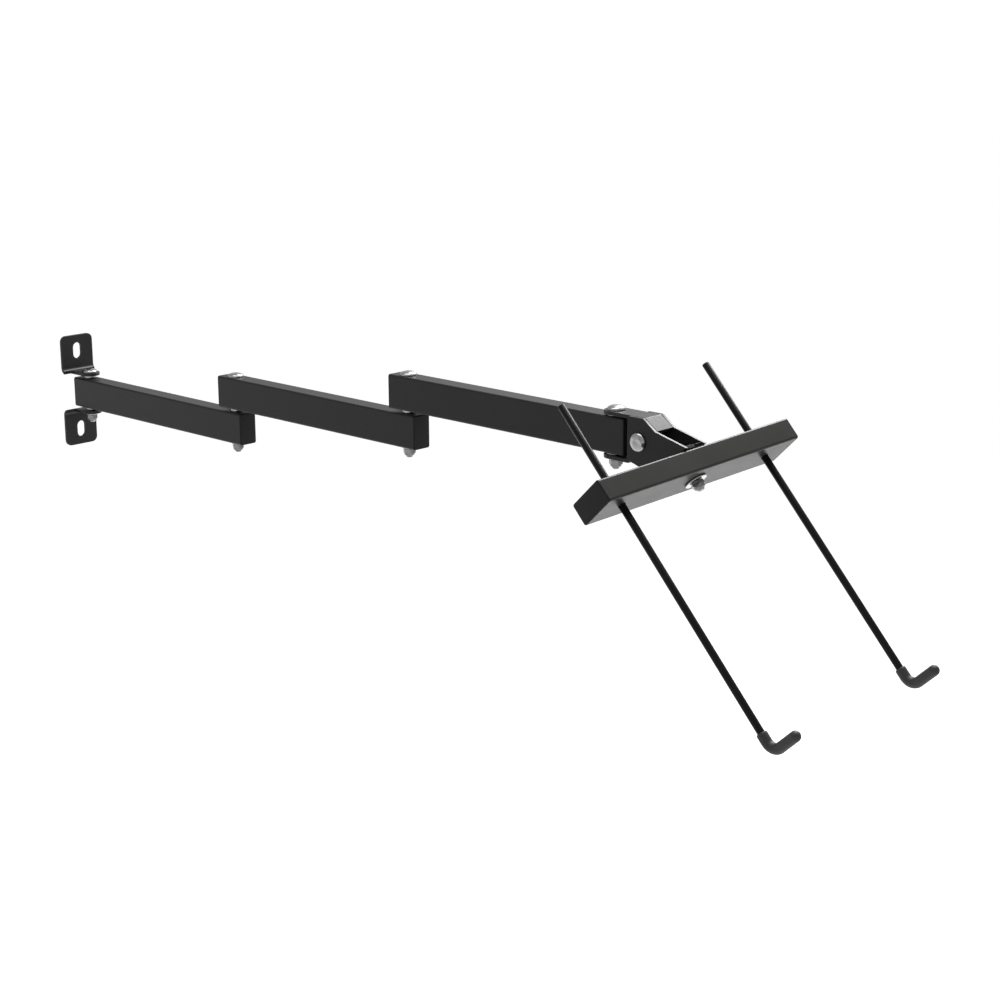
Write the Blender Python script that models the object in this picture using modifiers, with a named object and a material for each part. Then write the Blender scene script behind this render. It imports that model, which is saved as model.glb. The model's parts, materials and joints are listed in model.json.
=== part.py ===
"""Folding wall rack for one bicycle: two wall brackets, three stacked arms and a hook head.

Frame: X points out of the wall, Y runs along the wall, Z is up.  The origin lies in the wall
plane, level with the middle of the first arm and above and below it a wall bracket.
All lengths below are metres, written as millimetres times MM.
"""

import math

import bmesh
import bpy
from mathutils import Matrix, Vector

MM = 0.001

# ---------------------------------------------------------------- driving dimensions
TOUCH = 0.3 * MM                # gap left between two pieces that rest on each other
RUN = 0.4 * MM                  # radial clearance of a bolt in its hole

ARM_PITCH = 315 * MM            # pivot to pivot along each arm
ARM_HEIGHT = 40 * MM
ARM_WIDTH = 25 * MM
ARM_OVERHANG = 21 * MM          # tube end beyond its pivot
ARM_WALL = 2 * MM
ARM_CORNER = 2.5 * MM           # outer corner radius of the rectangular tubes
CAP_FLANGE = 1.5 * MM           # part of an end cap that shows
CAP_PLUG = 8 * MM               # part of an end cap inside the tube

BOLT_RADIUS = 4 * MM
DOME_RADIUS = 10 * MM
DOME_HEIGHT = 5 * MM
NUT_ACROSS_FLATS = 13 * MM
NUT_HEX_HEIGHT = 5.5 * MM
NUT_COLLAR_HEIGHT = 2.5 * MM
WASHER_RADIUS = 8 * MM
WASHER_THICKNESS = 1.6 * MM
BOLT_END = 2.5 * MM             # thread showing beyond a nut
SPACER_THICKNESS = 3.6 * MM     # ring between two stacked arms
BUSH_RADIUS = 6 * MM            # crush sleeve inside a tube, round its bolt

PLATE = 4 * MM                  # bracket and yoke plate
WALL_PIVOT_OUT = 31 * MM        # wall plane to first pivot
TAB_WIDTH = 50 * MM
TAB_HEIGHT = 52 * MM            # height of one wall tab, measured from its ear's inner face
TAB_CORNER = 8 * MM
TAB_BEND = 5 * MM               # inner bend radius between tab and ear
EAR_WIDTH = ARM_WIDTH + 1 * MM
SLOT_WIDTH = 13 * MM
SLOT_HEIGHT = 22 * MM
SLOT_CENTRE = 30.5 * MM         # slot centre above the ear's inner face

SHIM_THICKNESS = 1.0 * MM       # nylon shim between yoke and third arm
YOKE_WIDTH = ARM_WIDTH + 1 * MM
YOKE_WEB_OUT = 26 * MM          # swivel axis to the inner face of the yoke's web
YOKE_CHEEK = 4 * MM
YOKE_CHEEK_RADIUS = 11 * MM
VISOR_FLAT = 6 * MM             # flat top of the yoke beyond the tilt axis
VISOR_REACH = 22 * MM           # tip of the sloping visor beyond the tilt axis
VISOR_TIP_HEIGHT = 14 * MM      # tip of the sloping visor above the tilt axis
TILT_OUT = 44.3 * MM            # swivel axis to tilt axis

BRACKET_PLATE = 3.5 * MM        # side and end plates of the tilt bracket
BRACKET_BACK = 13.2 * MM        # tilt axis to the rear edge of the side plates
BRACKET_CLEARANCE = 0.4 * MM    # side play between yoke and tilt bracket
BAR_ALONG_RODS = 54 * MM        # tilt axis to the cross bar's centre, along the hook rods
BAR_ACROSS_RODS = 23.9 * MM     # and square to the hook rods

REST_TILT = math.radians(47.4)  # hook rods below the horizontal
REST_ROLL = math.radians(6.0)   # cross bar turned about its centre bolt

BAR_LENGTH = 280 * MM
BAR_DEPTH = 25 * MM             # along the hook rods
BAR_HEIGHT = 50 * MM            # square to them
BAR_WALL = 2 * MM
FRICTION_WASHER = 1.0 * MM
FRICTION_WASHER_RADIUS = 12 * MM
FENDER_RADIUS = 12.5 * MM       # large washer under the centre bolt's nut

ROD_RADIUS = 4 * MM
ROD_SPACING = 212 * MM
ROD_BEHIND = 108 * MM           # rod end behind the bar's centre
ROD_AHEAD = 296 * MM            # hook floor ahead of the bar's centre
HOOK_RADIUS = 12 * MM           # bend, on the rod's centre line
HOOK_RISE = 40 * MM             # rod tip above the hook floor's centre line
SLEEVE_WALL = 1.5 * MM
SLEEVE_START = 22 * MM          # dipped coating begins this far short of the hook floor
SLEEVE_END = 3 * MM             # coating beyond the rod tip
SET_SCREW_RADIUS = 3 * MM
SET_SCREW_RECESS = 0.5 * MM     # outer end of the set screw inside the bar's narrow face

SEGMENTS = 16                   # round hardware
ARC_STEPS = 5                   # points on a quarter turn of an outline

# ---------------------------------------------------------------- derived places
ARM_LEVEL = ARM_HEIGHT + SPACER_THICKNESS + 2 * TOUCH
EAR_INNER = ARM_HEIGHT / 2 + SPACER_THICKNESS + 2 * TOUCH
EAR_OUTER = EAR_INNER + PLATE
PIVOTS = [WALL_PIVOT_OUT + index * ARM_PITCH for index in range(4)]
LEVELS = [index * ARM_LEVEL for index in range(3)]
SWIVEL_X = PIVOTS[3]
HEAD_LEVEL = LEVELS[2]
YOKE_INNER = ARM_HEIGHT / 2 + SHIM_THICKNESS + 2 * TOUCH
YOKE_OUTER = YOKE_INNER + PLATE
TILT_AXIS = Vector((SWIVEL_X + TILT_OUT, 0, HEAD_LEVEL))
HEAD_TURN = Matrix.Translation(TILT_AXIS) @ Matrix.Rotation(REST_TILT, 4, "Y")
BAR_TURN = (HEAD_TURN @ Matrix.Translation((BAR_ALONG_RODS, 0, BAR_ACROSS_RODS))
            @ Matrix.Rotation(REST_ROLL, 4, "X"))
BRACKET_INNER = YOKE_WIDTH / 2 + BRACKET_CLEARANCE
BRACKET_OUTER = BRACKET_INNER + BRACKET_PLATE
BRACKET_FACE = BAR_DEPTH / 2 + FRICTION_WASHER + 2 * TOUCH
SLEEVE_RADIUS = ROD_RADIUS + TOUCH + SLEEVE_WALL
UPRIGHT = Matrix.Rotation(math.radians(90), 4, "X")      # outline x, y become X, Z
SIDEWAYS = Matrix.Rotation(math.radians(90), 4, "Y")     # a turned piece's axis becomes X


# ---------------------------------------------------------------- scene and materials
def clear_scene():
    for item in list(bpy.data.objects):
        bpy.data.objects.remove(item, do_unlink=True)


def new_collection(name):
    collection = bpy.data.collections.new(name)
    bpy.context.scene.collection.children.link(collection)
    return collection


def new_material(name, colour, roughness, metallic):
    material = bpy.data.materials.new(name)
    material.use_nodes = True
    shader = material.node_tree.nodes["Principled BSDF"]
    shader.inputs["Base Color"].default_value = (*colour, 1)
    shader.inputs["Roughness"].default_value = roughness
    shader.inputs["Metallic"].default_value = metallic
    material.diffuse_color = (*colour, 1)
    return material


clear_scene()
RACK = new_collection("bicycle_wall_rack")
CUTTERS = new_collection("cutters")
FINISHES = {
    "powder_coat": ((0.040, 0.041, 0.043), 0.42, 0.0),
    "zinc": ((0.72, 0.73, 0.74), 0.28, 1.0),
    "black_plastic": ((0.020, 0.020, 0.021), 0.5, 0.0),
    "nylon": ((0.60, 0.59, 0.55), 0.5, 0.0),
    "gloss_black": ((0.010, 0.010, 0.011), 0.25, 0.0),
    "dipped_vinyl": ((0.030, 0.030, 0.032), 0.55, 0.0),
    "black_oxide": ((0.035, 0.034, 0.034), 0.45, 0.9),
}


def add_mesh(name, mesh, matrix, collection=RACK):
    item = bpy.data.objects.new(name, mesh)
    collection.objects.link(item)
    item.matrix_world = matrix
    if collection is CUTTERS:
        item.hide_render = True
        item.display_type = "WIRE"
    return item


def dress(item, finish):
    """Give a piece its own material and shade its round sides smooth."""
    item.data.materials.clear()
    item.data.materials.append(new_material(f"{item.name}_{finish}", *FINISHES[finish]))
    if item.type == "MESH":
        item.data.shade_smooth()
        item.data.set_sharp_from_angle(angle=math.radians(35))
    return item


def realise(item):
    """Swap a curve, or a mesh with modifiers, for the plain mesh it evaluates to."""
    bpy.context.view_layer.update()
    graph = bpy.context.evaluated_depsgraph_get()
    mesh = bpy.data.meshes.new_from_object(item.evaluated_get(graph))
    cleaner = bmesh.new()
    cleaner.from_mesh(mesh)
    bmesh.ops.remove_doubles(cleaner, verts=cleaner.verts, dist=0.001 * MM)
    cleaner.to_mesh(mesh)
    cleaner.free()
    name, matrix, collection = item.name, item.matrix_world.copy(), item.users_collection[0]
    bpy.data.objects.remove(item)
    return add_mesh(name, mesh, matrix, collection)


# ---------------------------------------------------------------- outlines
def arc(centre, radius, start, end, steps=ARC_STEPS):
    """Points on an arc, from start to end degrees."""
    angles = [math.radians(start + (end - start) * step / steps) for step in range(steps + 1)]
    return [(centre[0] + radius * math.cos(a), centre[1] + radius * math.sin(a)) for a in angles]


def rounded_rectangle(width, height, corner):
    x, y = width / 2 - corner, height / 2 - corner
    return (arc((x, y), corner, 0, 90) + arc((-x, y), corner, 90, 180)
            + arc((-x, -y), corner, 180, 270) + arc((x, -y), corner, 270, 360))


def slot_outline(width, height):
    straight = (height - width) / 2
    return (arc((0, straight), width / 2, 0, 180, 2 * ARC_STEPS)
            + arc((0, -straight), width / 2, 180, 360, 2 * ARC_STEPS))


# ---------------------------------------------------------------- basic solids
def prism(name, outline, depth, matrix, collection=RACK):
    """A flat outline in the local XY plane, thickened evenly to both sides."""
    curve = bpy.data.curves.new(name, "CURVE")
    curve.dimensions = "2D"
    curve.fill_mode = "BOTH"
    curve.extrude = depth / 2
    spline = curve.splines.new("POLY")
    spline.points.add(len(outline) - 1)
    for point, (x, y) in zip(spline.points, outline):
        point.co = (x, y, 0, 1)
    spline.use_cyclic_u = True
    return realise(add_mesh(name, curve, matrix, collection))


def box(name, size, matrix, collection=RACK):
    shape = bmesh.new()
    bmesh.ops.create_cube(shape, size=1, matrix=Matrix.Diagonal((*size, 1)))
    mesh = bpy.data.meshes.new(name)
    shape.to_mesh(mesh)
    shape.free()
    return add_mesh(name, mesh, matrix, collection)


def cylinder(name, radius, length, matrix, collection=RACK, segments=SEGMENTS):
    shape = bmesh.new()
    bmesh.ops.create_cone(shape, cap_ends=True, segments=segments,
                          radius1=radius, radius2=radius, depth=length)
    mesh = bpy.data.meshes.new(name)
    shape.to_mesh(mesh)
    shape.free()
    return add_mesh(name, mesh, matrix, collection)


def turned(name, profile, matrix, closed=False):
    """Turn a profile of (radius, height) points, listed down its outer side, about local Z."""
    mesh = bpy.data.meshes.new(name)
    edges = [(index, index + 1) for index in range(len(profile) - 1)]
    if closed:
        edges.append((len(profile) - 1, 0))
    mesh.from_pydata([(radius, 0, height) for radius, height in profile], edges, [])
    item = add_mesh(name, mesh, matrix)
    screw = item.modifiers.new("turn", "SCREW")
    screw.steps = SEGMENTS
    screw.render_steps = SEGMENTS
    screw.use_merge_vertices = True
    screw.merge_threshold = 0.001 * MM
    return realise(item)


def path_tube(name, points, radius, matrix, swell=None, collection=RACK):
    """A round bar along a path; swell scales the radius at each point."""
    curve = bpy.data.curves.new(name, "CURVE")
    curve.dimensions = "3D"
    curve.bevel_depth = radius
    curve.bevel_resolution = 2
    curve.use_fill_caps = True
    spline = curve.splines.new("POLY")
    spline.points.add(len(points) - 1)
    for index, (point, place) in enumerate(zip(spline.points, points)):
        point.co = (*place, 1)
        point.radius = swell[index] if swell else 1
    return realise(add_mesh(name, curve, matrix, collection))


def combine(item, other, operation):
    """Apply one exact Boolean to a piece and remove the tool."""
    boolean = item.modifiers.new(operation.lower(), "BOOLEAN")
    boolean.operation = operation
    boolean.solver = "EXACT"
    boolean.object = other
    result = realise(item)
    bpy.data.objects.remove(other)
    return result


def drill(item, radius, length, matrix):
    cutter = cylinder(f"{item.name}_drill", radius, length, matrix, CUTTERS)
    return combine(item, cutter, "DIFFERENCE")


# ---------------------------------------------------------------- hardware
def place(x, y, z):
    return Matrix.Translation((x, y, z))


def ring(name, outer, inner, thickness, matrix, finish):
    """A washer, spacer, shim or bush whose lower face lies at the matrix origin."""
    profile = [(outer, thickness), (outer, 0), (inner, 0), (inner, thickness)]
    return dress(turned(name, profile, matrix, closed=True), finish)


def dome_bolt(name, reach, matrix):
    """A round-headed bolt: the head seats at the local origin and the shank runs down."""
    dome = [(DOME_RADIUS * math.sin(a), DOME_HEIGHT * (0.2 + 0.8 * math.cos(a)))
            for a in (math.radians(18 * step) for step in range(6))]
    chamfer = 0.8 * MM
    shank = [(DOME_RADIUS, 0), (BOLT_RADIUS, 0), (BOLT_RADIUS, -reach + chamfer),
             (BOLT_RADIUS - chamfer, -reach), (0, -reach)]
    return dress(turned(name, dome + shank, matrix), "zinc")


def lock_nut(name, matrix, finish="zinc"):
    """A hexagon nut with a round collar below it, seated under the local origin."""
    hexagon = cylinder(name, NUT_ACROSS_FLATS / math.sqrt(3), NUT_HEX_HEIGHT,
                       matrix @ place(0, 0, -NUT_HEX_HEIGHT / 2), segments=6)
    overlap = 1 * MM
    height = NUT_COLLAR_HEIGHT + overlap
    collar = cylinder(f"{name}_collar", NUT_ACROSS_FLATS / 2 - 0.4 * MM, height,
                      matrix @ place(0, 0, -NUT_HEX_HEIGHT - NUT_COLLAR_HEIGHT + height / 2), CUTTERS)
    nut = combine(hexagon, collar, "UNION")
    nut = drill(nut, BOLT_RADIUS + TOUCH, 4 * NUT_HEX_HEIGHT, matrix)
    return dress(nut, finish)


def fasten(name, head, grip, turn, washer_radius=WASHER_RADIUS):
    """Dome bolt, washer and lock nut: head at the top of the grip, nut at its foot."""
    seat = turn @ place(0, 0, head + TOUCH)
    washer_top = head - grip - TOUCH
    nut_top = washer_top - WASHER_THICKNESS - TOUCH
    foot = nut_top - NUT_HEX_HEIGHT - NUT_COLLAR_HEIGHT - BOLT_END
    dome_bolt(f"{name}_bolt", head + TOUCH - foot, seat)
    ring(f"{name}_washer", washer_radius, BOLT_RADIUS + TOUCH, WASHER_THICKNESS,
         turn @ place(0, 0, washer_top - WASHER_THICKNESS), "zinc")
    lock_nut(f"{name}_nut", turn @ place(0, 0, nut_top))


# ---------------------------------------------------------------- tubes and caps
def rectangular_tube(name, depth, height, wall, length, matrix):
    """A tube along local Z, depth across local X and height across local Y."""
    tube = prism(name, rounded_rectangle(depth, height, ARM_CORNER), length, matrix)
    inside = prism(f"{name}_inside", rounded_rectangle(depth - 2 * wall, height - 2 * wall,
                                                       ARM_CORNER / 2),
                   2 * length, matrix, CUTTERS)
    return combine(tube, inside, "DIFFERENCE")


def end_cap(name, depth, height, wall, matrix):
    """A push-in cap: its flange lies below the local origin, its plug points along local Z."""
    flange = prism(name, rounded_rectangle(depth, height, ARM_CORNER), CAP_FLANGE,
                   matrix @ place(0, 0, CAP_FLANGE / 2))
    overlap = CAP_FLANGE / 2
    shrink = 2 * (wall + TOUCH)
    plug = prism(f"{name}_plug", rounded_rectangle(depth - shrink, height - shrink, ARM_CORNER / 2),
                 CAP_PLUG + overlap,
                 matrix @ place(0, 0, CAP_FLANGE + (CAP_PLUG - overlap) / 2), CUTTERS)
    return dress(combine(flange, plug, "UNION"), "black_plastic")


def arm(index):
    """One arm: capped rectangular tube with a bush round each of its two bolts."""
    name = f"arm_{index + 1}"
    first, last, level = PIVOTS[index], PIVOTS[index + 1], LEVELS[index]
    length = ARM_PITCH + 2 * (ARM_OVERHANG - CAP_FLANGE - TOUCH)
    along = Matrix.Rotation(math.radians(90), 4, "Y") @ Matrix.Rotation(math.radians(90), 4, "Z")
    tube = rectangular_tube(f"{name}_tube", ARM_WIDTH, ARM_HEIGHT, ARM_WALL, length,
                            place((first + last) / 2, 0, level) @ along)
    for pivot in (first, last):
        tube = drill(tube, BOLT_RADIUS + RUN, 2 * ARM_HEIGHT, place(pivot, 0, level))
    dress(tube, "powder_coat")
    end_cap(f"{name}_cap_inner", ARM_WIDTH, ARM_HEIGHT, ARM_WALL,
            place(first - ARM_OVERHANG, 0, level) @ along)
    end_cap(f"{name}_cap_outer", ARM_WIDTH, ARM_HEIGHT, ARM_WALL,
            place(last + ARM_OVERHANG, 0, level) @ Matrix.Rotation(math.pi, 4, "Z") @ along)
    bush_height = ARM_HEIGHT - 2 * (ARM_WALL + TOUCH)
    for side, pivot in (("inner", first), ("outer", last)):
        ring(f"{name}_bush_{side}", BUSH_RADIUS, BOLT_RADIUS + RUN, bush_height,
             place(pivot, 0, level - bush_height / 2), "zinc")


# ---------------------------------------------------------------- wall end
def wall_bracket(name, matrix):
    """An L bracket: slotted tab flat on the wall, ear standing out under it."""
    top = EAR_INNER + TAB_HEIGHT
    bend = (PLATE + TAB_BEND, EAR_OUTER + TAB_BEND)
    reach = WALL_PIVOT_OUT + EAR_WIDTH / 2
    outside = TAB_BEND + PLATE
    profile = ([(0, top), (0, bend[1])] + arc(bend, outside, 180, 270)
               + [(reach, EAR_INNER), (reach, EAR_OUTER), (bend[0], EAR_OUTER)]
               + arc(bend, TAB_BEND, 270, 180) + [(PLATE, top)])
    spare = 10 * MM
    body = prism(name, profile, TAB_WIDTH + 2 * spare, UPRIGHT)
    front = prism(f"{name}_front", rounded_rectangle(TAB_WIDTH, 2 * TAB_HEIGHT, TAB_CORNER),
                  4 * reach, place(0, 0, top - TAB_HEIGHT) @ SIDEWAYS @ Matrix.Rotation(math.pi / 2, 4, "Z"),
                  CUTTERS)
    body = combine(body, front, "INTERSECT")
    half_ear, half_tab, lip = EAR_WIDTH / 2, TAB_WIDTH / 2 + spare / 2, PLATE + TAB_BEND
    plan = ([(-spare, -half_tab), (lip, -half_tab), (lip, -half_ear)]
            + arc((WALL_PIVOT_OUT, 0), half_ear, -90, 90, 2 * ARC_STEPS)
            + [(lip, half_ear), (lip, half_tab), (-spare, half_tab)])
    body = combine(body, prism(f"{name}_plan", plan, 4 * top, Matrix(), CUTTERS), "INTERSECT")
    slot = prism(f"{name}_slot", slot_outline(SLOT_WIDTH, SLOT_HEIGHT), 4 * PLATE,
                 place(0, 0, EAR_INNER + SLOT_CENTRE) @ SIDEWAYS @ Matrix.Rotation(math.pi / 2, 4, "Z"),
                 CUTTERS)
    body = combine(body, slot, "DIFFERENCE")
    body = drill(body, BOLT_RADIUS + RUN, 4 * PLATE, place(WALL_PIVOT_OUT, 0, EAR_INNER))
    body.matrix_world = matrix @ body.matrix_world
    return dress(body, "powder_coat")


def wall_end():
    wall_bracket("wall_bracket_upper", Matrix())
    wall_bracket("wall_bracket_lower", Matrix.Rotation(math.pi, 4, "X"))
    turn = place(WALL_PIVOT_OUT, 0, 0)
    fasten("wall_pivot", EAR_OUTER, 2 * EAR_OUTER, turn)
    for side, height in (("upper", ARM_HEIGHT / 2 + TOUCH),
                         ("lower", -ARM_HEIGHT / 2 - TOUCH - SPACER_THICKNESS)):
        ring(f"wall_pivot_spacer_{side}", WASHER_RADIUS, BOLT_RADIUS + RUN, SPACER_THICKNESS,
             turn @ place(0, 0, height), "zinc")


def elbow(index):
    """The bolt that joins arm index to the arm stacked on it, with the ring between them."""
    name = f"elbow_{index}"
    pivot, top = PIVOTS[index], LEVELS[index] + ARM_HEIGHT / 2
    fasten(name, top, ARM_LEVEL + ARM_HEIGHT, place(pivot, 0, 0))
    ring(f"{name}_spacer", WASHER_RADIUS, BOLT_RADIUS + RUN, SPACER_THICKNESS,
         place(pivot, 0, LEVELS[index - 1] + ARM_HEIGHT / 2 + TOUCH), "zinc")


# ---------------------------------------------------------------- hook head
def swivel_yoke():
    """A bent plate round the third arm's end, with a visor and two cheeks for the tilt bolt."""
    web, tilt, half = YOKE_WEB_OUT, TILT_OUT, YOKE_WIDTH / 2
    slope = math.atan2(YOKE_OUTER - VISOR_TIP_HEIGHT, VISOR_REACH - VISOR_FLAT)
    inset = PLATE * math.tan(slope / 2)
    tip = (tilt + VISOR_REACH, VISOR_TIP_HEIGHT)
    under_tip = (tip[0] - PLATE * math.sin(slope), tip[1] - PLATE * math.cos(slope))
    profile = [(-half, YOKE_OUTER), (-half, YOKE_INNER), (web, YOKE_INNER), (web, -YOKE_INNER),
               (-half, -YOKE_INNER), (-half, -YOKE_OUTER), (web + PLATE, -YOKE_OUTER),
               (web + PLATE, YOKE_INNER), (tilt + VISOR_FLAT - inset, YOKE_INNER),
               under_tip, tip, (tilt + VISOR_FLAT, YOKE_OUTER)]
    here = place(SWIVEL_X, 0, HEAD_LEVEL)
    spare = 5 * MM
    body = prism("swivel_yoke", profile, YOKE_WIDTH + 2 * spare, here @ UPRIGHT)
    plan = arc((0, 0), half, 90, 270, 2 * ARC_STEPS) + [(tilt + VISOR_REACH + spare, -half),
                                                       (tilt + VISOR_REACH + spare, half)]
    body = combine(body, prism("yoke_plan", plan, 4 * YOKE_OUTER, here, CUTTERS), "INTERSECT")
    cheek = ([(web + PLATE / 2, YOKE_CHEEK_RADIUS), (web + PLATE / 2, -YOKE_CHEEK_RADIUS)]
             + arc((tilt, 0), YOKE_CHEEK_RADIUS, -90, 90, 2 * ARC_STEPS))
    flush = 0.1 * MM
    for side in (-1, 1):
        middle = side * (half - flush - YOKE_CHEEK / 2)
        body = combine(body, prism("yoke_cheek", cheek, YOKE_CHEEK, here @ place(0, middle, 0) @ UPRIGHT,
                                   CUTTERS), "UNION")
    body = drill(body, BOLT_RADIUS + RUN, 4 * YOKE_OUTER, here)
    body = drill(body, BOLT_RADIUS + RUN, 2 * YOKE_WIDTH, here @ place(tilt, 0, 0) @ UPRIGHT)
    dress(body, "powder_coat")
    fasten("swivel", YOKE_OUTER, 2 * YOKE_OUTER, here)
    for side, height in (("upper", ARM_HEIGHT / 2 + TOUCH),
                         ("lower", -ARM_HEIGHT / 2 - TOUCH - SHIM_THICKNESS)):
        ring(f"swivel_shim_{side}", WASHER_RADIUS + 2 * MM, BOLT_RADIUS + RUN, SHIM_THICKNESS,
             here @ place(0, 0, height), "nylon")


def head_point(along, across):
    """Tilt-axis X and Z of a point given along and square to the hook rods."""
    cos, sin = math.cos(REST_TILT), math.sin(REST_TILT)
    return (along * cos + across * sin, across * cos - along * sin)


def tilt_bracket():
    """Two side plates on the tilt bolt, joined by an end plate that carries the cross bar."""
    here = Matrix.Translation(TILT_AXIS)
    face = BAR_ALONG_RODS - BRACKET_FACE
    upper = head_point(face, BAR_ACROSS_RODS + BAR_HEIGHT / 2)
    lower = head_point(face, BAR_ACROSS_RODS - BAR_HEIGHT / 2)
    outline = [(-BRACKET_BACK, YOKE_OUTER), (VISOR_FLAT, YOKE_OUTER), (VISOR_REACH, VISOR_TIP_HEIGHT),
               upper, lower, (0, -YOKE_OUTER), (-BRACKET_BACK, -YOKE_OUTER + PLATE)]
    middle = (BRACKET_INNER + BRACKET_OUTER) / 2
    body = prism("tilt_bracket", outline, BRACKET_PLATE, here @ place(0, -middle, 0) @ UPRIGHT)
    flush = 0.1 * MM
    end_plate = box("bracket_end", (BRACKET_PLATE, 2 * middle, BAR_HEIGHT - 2 * flush),
                    HEAD_TURN @ place(face - flush - BRACKET_PLATE / 2, 0, BAR_ACROSS_RODS), CUTTERS)
    body = combine(body, end_plate, "UNION")
    far_plate = prism("bracket_far", outline, BRACKET_PLATE, here @ place(0, middle, 0) @ UPRIGHT, CUTTERS)
    body = combine(body, far_plate, "UNION")
    body = drill(body, BOLT_RADIUS + RUN, 4 * BRACKET_OUTER, here @ UPRIGHT)
    body = drill(body, BOLT_RADIUS + RUN, 4 * BRACKET_PLATE,
                 HEAD_TURN @ place(face, 0, BAR_ACROSS_RODS) @ SIDEWAYS)
    dress(body, "powder_coat")
    fasten("tilt", BRACKET_OUTER, 2 * BRACKET_OUTER, here @ UPRIGHT)


def cross_bar():
    """The bar across the head, its centre bolt and its end caps."""
    length = BAR_LENGTH - 2 * (CAP_FLANGE + TOUCH)
    along = Matrix.Rotation(math.radians(-90), 4, "X")
    tube = rectangular_tube("cross_bar_tube", BAR_DEPTH, BAR_HEIGHT, BAR_WALL, length, BAR_TURN @ along)
    tube = drill(tube, BOLT_RADIUS + RUN, 2 * BAR_HEIGHT, BAR_TURN @ SIDEWAYS)
    for side in (-1, 1):
        at_rod = BAR_TURN @ place(0, side * ROD_SPACING / 2, 0)
        tube = drill(tube, ROD_RADIUS + TOUCH, 2 * BAR_HEIGHT, at_rod @ SIDEWAYS)
        tube = drill(tube, SET_SCREW_RADIUS + TOUCH, BAR_HEIGHT / 2, at_rod @ place(0, 0, -BAR_HEIGHT / 2))
    dress(tube, "powder_coat")
    half_turn = Matrix.Rotation(math.pi, 4, "X")
    for side, turn in (("left", along), ("right", half_turn @ along)):
        end_cap(f"cross_bar_cap_{side}", BAR_DEPTH, BAR_HEIGHT, BAR_WALL,
                BAR_TURN @ turn @ place(0, 0, -BAR_LENGTH / 2))
    bolt_turn = BAR_TURN @ Matrix.Rotation(math.radians(-90), 4, "Y")
    head = BRACKET_FACE + BRACKET_PLATE
    fasten("roll", head, head + BAR_DEPTH / 2, bolt_turn, FENDER_RADIUS)
    ring("roll_friction_washer", FRICTION_WASHER_RADIUS, BOLT_RADIUS + RUN, FRICTION_WASHER,
         bolt_turn @ place(0, 0, BAR_DEPTH / 2 + TOUCH), "nylon")
    bush_length = BAR_DEPTH - 2 * (BAR_WALL + TOUCH)
    ring("cross_bar_bush", BUSH_RADIUS, BOLT_RADIUS + RUN, bush_length,
         bolt_turn @ place(0, 0, -bush_length / 2), "zinc")


def hook_path(start, tip):
    """Centre line in the plane of one hook: down the rod, round the bend and up to the tip."""
    bend = [(ROD_AHEAD - HOOK_RADIUS + HOOK_RADIUS * math.sin(a), 0, HOOK_RADIUS * (1 - math.cos(a)))
            for a in (math.radians(15 * step) for step in range(7))]
    return [(start, 0, 0)] + bend + [(ROD_AHEAD, 0, tip)]


def sleeve_shape():
    """Path and swell of the dipped coating, tapered at its mouth and round at its tip."""
    start = ROD_AHEAD - SLEEVE_START
    taper = 3 * MM
    rounding = [(SLEEVE_RADIUS * math.sin(a), math.cos(a))
                for a in (math.radians(22 * step) for step in range(1, 5))]
    base = HOOK_RISE + SLEEVE_END - SLEEVE_RADIUS
    path = hook_path(start + taper, base)
    points = [(start, 0, 0)] + path + [(ROD_AHEAD, 0, base + rise) for rise, _ in rounding]
    mouth = (ROD_RADIUS + TOUCH + SLEEVE_WALL / 2) / SLEEVE_RADIUS
    return points, [mouth] + [1] * len(path) + [swell for _, swell in rounding]


def hooks():
    for name, side in (("left", -1), ("right", 1)):
        turn = BAR_TURN @ place(0, side * ROD_SPACING / 2, 0)
        dress(path_tube(f"hook_rod_{name}", hook_path(-ROD_BEHIND, HOOK_RISE), ROD_RADIUS, turn), "gloss_black")
        points, swell = sleeve_shape()
        sleeve = path_tube(f"hook_sleeve_{name}", points, SLEEVE_RADIUS, turn, swell)
        bore_start = ROD_AHEAD - 2 * SLEEVE_START
        bore = path_tube("sleeve_bore", hook_path(bore_start, HOOK_RISE + TOUCH), ROD_RADIUS + TOUCH,
                         turn, collection=CUTTERS)
        dress(combine(sleeve, bore, "DIFFERENCE"), "dipped_vinyl")
        screw_top, screw_foot = -ROD_RADIUS - TOUCH, SET_SCREW_RECESS - BAR_HEIGHT / 2
        screw = cylinder(f"set_screw_{name}", SET_SCREW_RADIUS, screw_top - screw_foot,
                         turn @ place(0, 0, (screw_top + screw_foot) / 2))
        dress(screw, "black_oxide")


wall_end()
for number in range(3):
    arm(number)
for number in (1, 2):
    elbow(number)
swivel_yoke()
tilt_bracket()
cross_bar()
hooks()
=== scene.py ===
"""Folding wall rack for one bicycle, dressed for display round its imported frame.

Frame: X points out of the wall, Y runs along the wall, Z is up.  Lengths are metres.
"""

import json
import logging
import math
from collections.abc import Sequence
from dataclasses import dataclass, field
from enum import Enum
from typing import Any

import bmesh
import bpy
from mathutils import Matrix, Vector

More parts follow.
